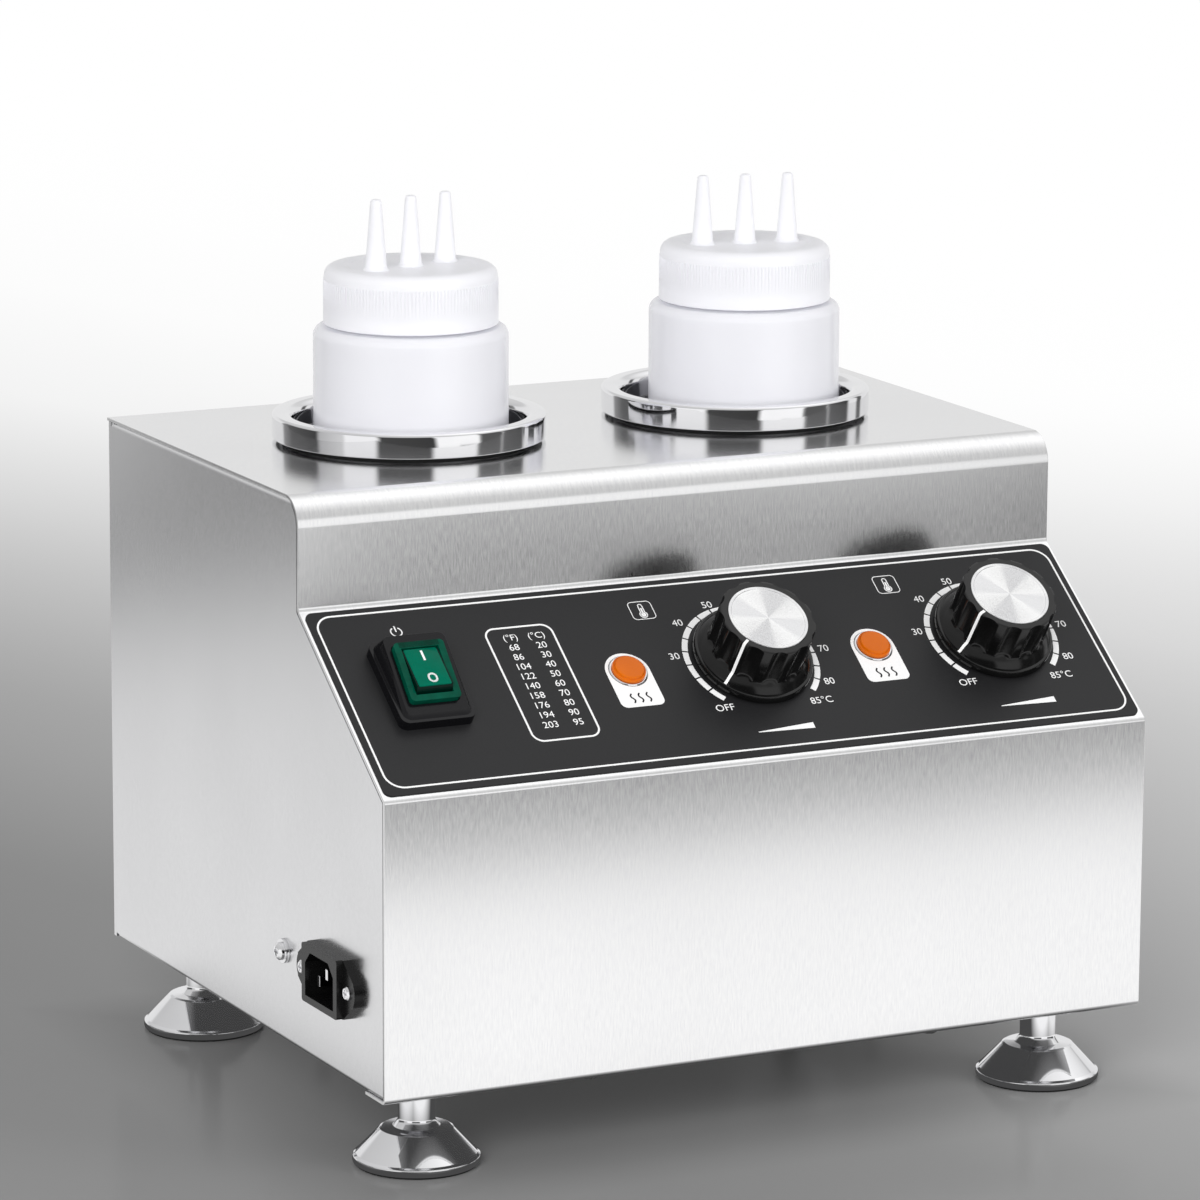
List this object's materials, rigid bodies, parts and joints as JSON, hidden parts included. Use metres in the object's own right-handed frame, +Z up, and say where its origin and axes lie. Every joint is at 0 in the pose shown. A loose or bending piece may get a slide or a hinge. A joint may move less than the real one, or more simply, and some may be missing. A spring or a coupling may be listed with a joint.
{
  "type": "two-well sauce bottle warmer",
  "caption": "Countertop warmer: a folded sheet cabinet on levelling feet holds squeeze bottles in heated wells, each set by a thermostat knob on a sloped panel with a rocker switch and lamps.",
  "frame": {"origin": "on the counter under the middle of the whole object's bounding box, at the level of the feet's rubber bases", "axes": "+X to the right seen from the front, +Y from the control side to the rear, +Z up"},
  "size_m": [0.3154, 0.257, 0.3298],
  "materials": {
    "sheet_steel": "brushed stainless sheet, fine vertical grain",
    "fastener_steel": "bright zinc-plated steel",
    "panel_black": "satin black label film",
    "print_white": "white screen print",
    "switch_black": "semi-gloss moulded plastic",
    "switch_green": "translucent green polycarbonate",
    "terminal_brass": "tinned brass tabs",
    "chrome": "polished chrome",
    "lamp_orange": "translucent orange polycarbonate",
    "lamp_body": "moulded nylon",
    "knob_black": "glossy black moulding",
    "spun_aluminium": "spun bright aluminium",
    "thermostat_body": "plated thermostat case",
    "copper": "drawn copper",
    "gasket_rubber": "black silicone rubber",
    "well_steel": "deep-drawn stainless steel",
    "heater_sheath": "mica band heater in a metal sheath",
    "bottle_plastic": "milky translucent polyethylene",
    "cap_plastic": "milky translucent polyethylene",
    "seal_foam": "soft white liner",
    "inlet_black": "black moulded nylon",
    "block_ivory": "ivory nylon terminal strip",
    "wire_red": "silicone-insulated wire",
    "pad_rubber": "black rubber base"
  },
  "bodies": {
    "chassis": {"front_top_cover": "sheet_steel", "side_rear_shell": "sheet_steel", "base_plate": "sheet_steel", "base_screws": "fastener_steel", "control_overlay": "panel_black", "panel_print": "print_white", "switch_bezel": "switch_black", "switch_frame": "switch_green", "switch_body": "switch_black", "switch_terminals": "terminal_brass", "lamp_1_bezel": "chrome", "lamp_1_lens": "lamp_orange", "lamp_1_holder": "lamp_body", "lamp_2_bezel": "chrome", "lamp_2_lens": "lamp_orange", "lamp_2_holder": "lamp_body", "thermostat_1_body": "thermostat_body", "thermostat_1_bulb": "copper", "thermostat_2_body": "thermostat_body", "thermostat_2_bulb": "copper", "thermostat_screws": "fastener_steel", "collar_1": "chrome", "collar_2": "chrome", "gasket_1": "gasket_rubber", "gasket_2": "gasket_rubber", "well_1": "well_steel", "well_2": "well_steel", "heater_band_1": "heater_sheath", "heater_band_2": "heater_sheath", "heater_clamp_screws": "fastener_steel", "inlet_housing": "inlet_black", "inlet_pins": "fastener_steel", "inlet_screws": "fastener_steel", "earth_screw": "fastener_steel", "terminal_block": "block_ivory", "wiring": "wire_red", "foot_nuts": "fastener_steel"},
    "rocker": {"switch_rocker": "switch_green"},
    "knob_1": {"knob_1_grip": "knob_black", "knob_1_disc": "spun_aluminium", "knob_1_pointer": "print_white", "thermostat_1_shaft": "fastener_steel"},
    "knob_2": {"knob_2_grip": "knob_black", "knob_2_disc": "spun_aluminium", "knob_2_pointer": "print_white", "thermostat_2_shaft": "fastener_steel"},
    "bottle_1": {"bottle_1": "bottle_plastic"},
    "cap_seal_1": {"cap_seal_1": "seal_foam"},
    "cap_1": {"cap_1": "cap_plastic"},
    "bottle_2": {"bottle_2": "bottle_plastic"},
    "cap_seal_2": {"cap_seal_2": "seal_foam"},
    "cap_2": {"cap_2": "cap_plastic"},
    "foot_1_pad": {"foot_1_pad": "pad_rubber"},
    "foot_1": {"foot_1_bell": "chrome"},
    "foot_2_pad": {"foot_2_pad": "pad_rubber"},
    "foot_2": {"foot_2_bell": "chrome"},
    "foot_3_pad": {"foot_3_pad": "pad_rubber"},
    "foot_3": {"foot_3_bell": "chrome"},
    "foot_4_pad": {"foot_4_pad": "pad_rubber"},
    "foot_4": {"foot_4_bell": "chrome"}
  },
  "joints": [
    {"name": "rocker_tilt", "type": "hinge", "parent": "chassis", "child": "rocker", "pos_m": [-0.11995, -0.09199, 0.17776], "axis": [1, 0, 0], "range_deg": [0, 20]},
    {"name": "knob_1_turn", "type": "hinge", "parent": "chassis", "child": "knob_1", "pos_m": [0.01235, -0.09001, 0.17102], "axis": [0, 0.5869, -0.8097], "range_deg": [0, 265]},
    {"name": "knob_2_turn", "type": "hinge", "parent": "chassis", "child": "knob_2", "pos_m": [0.11345, -0.09001, 0.17102], "axis": [0, 0.5869, -0.8097], "range_deg": [-11, 254]},
    {"name": "bottle_1_lift", "type": "slide", "parent": "chassis", "child": "bottle_1", "axis": [0, 0, 1], "range_m": [0, 0.165]},
    {"name": "cap_1_rise", "type": "slide", "parent": "bottle_1", "child": "cap_seal_1", "axis": [0, 0, 1], "range_m": [0, 0.0064]},
    {"name": "cap_1_turn", "type": "hinge", "parent": "cap_seal_1", "child": "cap_1", "pos_m": [-0.06545, 0.0385, 0.3005], "axis": [0, 0, 1], "range_deg": [0, 540]},
    {"name": "bottle_2_lift", "type": "slide", "parent": "chassis", "child": "bottle_2", "axis": [0, 0, 1], "range_m": [0, 0.165]},
    {"name": "cap_2_rise", "type": "slide", "parent": "bottle_2", "child": "cap_seal_2", "axis": [0, 0, 1], "range_m": [0, 0.0064]},
    {"name": "cap_2_turn", "type": "hinge", "parent": "cap_seal_2", "child": "cap_2", "pos_m": [0.07545, 0.0385, 0.3005], "axis": [0, 0, 1], "range_deg": [0, 540]},
    {"name": "foot_1_drop", "type": "slide", "parent": "chassis", "child": "foot_1_pad", "axis": [0, 0, -1], "range_m": [0, 0.0101]},
    {"name": "foot_1_turn", "type": "hinge", "parent": "foot_1_pad", "child": "foot_1", "pos_m": [-0.12625, -0.0985, 0], "axis": [0, 0, -1], "range_deg": [0, 2880]},
    {"name": "foot_2_drop", "type": "slide", "parent": "chassis", "child": "foot_2_pad", "axis": [0, 0, -1], "range_m": [0, 0.0101]},
    {"name": "foot_2_turn", "type": "hinge", "parent": "foot_2_pad", "child": "foot_2", "pos_m": [0.13175, -0.0985, 0], "axis": [0, 0, -1], "range_deg": [0, 2880]},
    {"name": "foot_3_drop", "type": "slide", "parent": "chassis", "child": "foot_3_pad", "axis": [0, 0, -1], "range_m": [0, 0.0101]},
    {"name": "foot_3_turn", "type": "hinge", "parent": "foot_3_pad", "child": "foot_3", "pos_m": [-0.12625, 0.0995, 0], "axis": [0, 0, -1], "range_deg": [0, 2880]},
    {"name": "foot_4_drop", "type": "slide", "parent": "chassis", "child": "foot_4_pad", "axis": [0, 0, -1], "range_m": [0, 0.0101]},
    {"name": "foot_4_turn", "type": "hinge", "parent": "foot_4_pad", "child": "foot_4", "pos_m": [0.13175, 0.0995, 0], "axis": [0, 0, -1], "range_deg": [0, 2880]}
  ],
  "couplings": [
    {"joint": "cap_1_rise", "follows": "cap_1_turn", "m_per_rad": 0.000668},
    {"joint": "cap_2_rise", "follows": "cap_2_turn", "m_per_rad": 0.000668},
    {"joint": "foot_1_drop", "follows": "foot_1_turn", "m_per_rad": 0.0001989},
    {"joint": "foot_2_drop", "follows": "foot_2_turn", "m_per_rad": 0.0001989},
    {"joint": "foot_3_drop", "follows": "foot_3_turn", "m_per_rad": 0.0001989},
    {"joint": "foot_4_drop", "follows": "foot_4_turn", "m_per_rad": 0.0001989}
  ]
}
